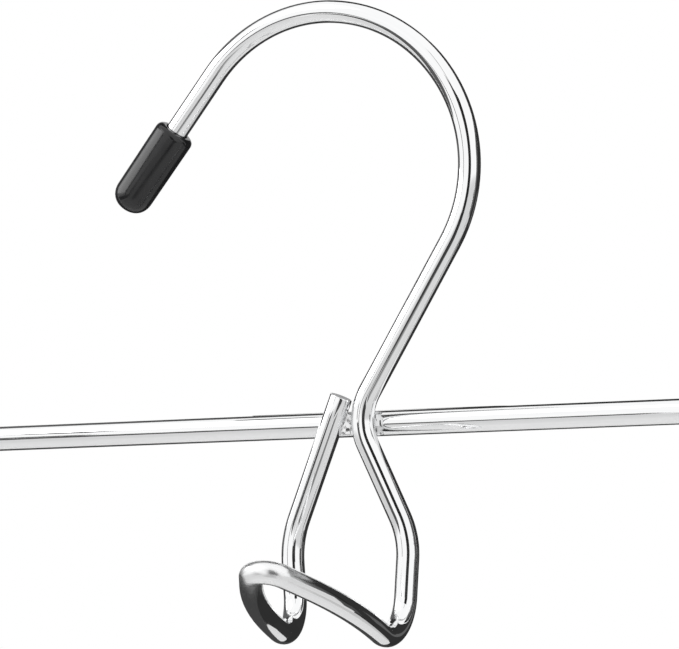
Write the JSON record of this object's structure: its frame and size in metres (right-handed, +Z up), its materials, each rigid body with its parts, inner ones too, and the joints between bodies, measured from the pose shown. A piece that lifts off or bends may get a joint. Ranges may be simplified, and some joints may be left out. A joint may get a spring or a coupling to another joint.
{
  "type": "stackable clip hanger",
  "caption": "Chrome wire add-on hanger with a vinyl-tipped hook, a stacking tongue under its straight bar, and sprung clips that slide along, swing round and open to hold skirts.",
  "frame": {"origin": "the hook's seat: the inside of the hook's curve at its highest point, where a rail bears", "axes": "+X along the bar to the right seen from the tongue's side, +Y from the tongue back towards the bar, +Z up"},
  "size_m": [0.353, 0.0549, 0.1122],
  "materials": {
    "chrome": "bright chrome plate",
    "weld": "plated weld metal, slightly rough",
    "spring_steel": "plated spring wire",
    "vinyl": "black dipped vinyl, satin"
  },
  "bodies": {
    "hanger_frame": {"hook_wire": "chrome", "hook_tip": "vinyl", "cross_bar": "chrome", "weld_middle": "weld", "weld_stem": "weld", "left_bar_cap": "vinyl", "right_bar_cap": "vinyl"},
    "left_clip_carrier": {"left_clip_spring": "spring_steel"},
    "left_clip_rear": {"left_clip_rear_jaw": "chrome", "left_clip_rear_pad": "vinyl"},
    "left_clip_front": {"left_clip_front_jaw": "chrome", "left_clip_front_pad": "vinyl"},
    "right_clip_carrier": {"right_clip_spring": "spring_steel"},
    "right_clip_rear": {"right_clip_rear_jaw": "chrome", "right_clip_rear_pad": "vinyl"},
    "right_clip_front": {"right_clip_front_jaw": "chrome", "right_clip_front_pad": "vinyl"}
  },
  "joints": [
    {"name": "left_clip_slide", "type": "slide", "parent": "hanger_frame", "child": "left_clip_carrier", "axis": [-1, 0, 0], "range_m": [-0.094, 0.011]},
    {"name": "left_clip_swing", "type": "hinge", "parent": "left_clip_carrier", "child": "left_clip_rear", "pos_m": [-0.14, 0.00445, -0.07], "axis": [1, 0, 0], "continuous": true, "deforming": ["left_clip_spring"]},
    {"name": "left_clip_squeeze", "type": "hinge", "parent": "left_clip_rear", "child": "left_clip_front", "pos_m": [-0.14, 0.00445, -0.07], "axis": [-1, 0, 0], "range_deg": [0, 42], "stiffness_Nm_per_rad": 0.15, "springref_deg": -45.84, "deforming": ["left_clip_spring"]},
    {"name": "right_clip_slide", "type": "slide", "parent": "hanger_frame", "child": "right_clip_carrier", "axis": [1, 0, 0], "range_m": [-0.094, 0.011]},
    {"name": "right_clip_swing", "type": "hinge", "parent": "right_clip_carrier", "child": "right_clip_rear", "pos_m": [0.14, 0.00445, -0.07], "axis": [1, 0, 0], "continuous": true, "deforming": ["right_clip_spring"]},
    {"name": "right_clip_squeeze", "type": "hinge", "parent": "right_clip_rear", "child": "right_clip_front", "pos_m": [0.14, 0.00445, -0.07], "axis": [-1, 0, 0], "range_deg": [0, 42], "stiffness_Nm_per_rad": 0.15, "springref_deg": -45.84, "deforming": ["right_clip_spring"]}
  ]
}
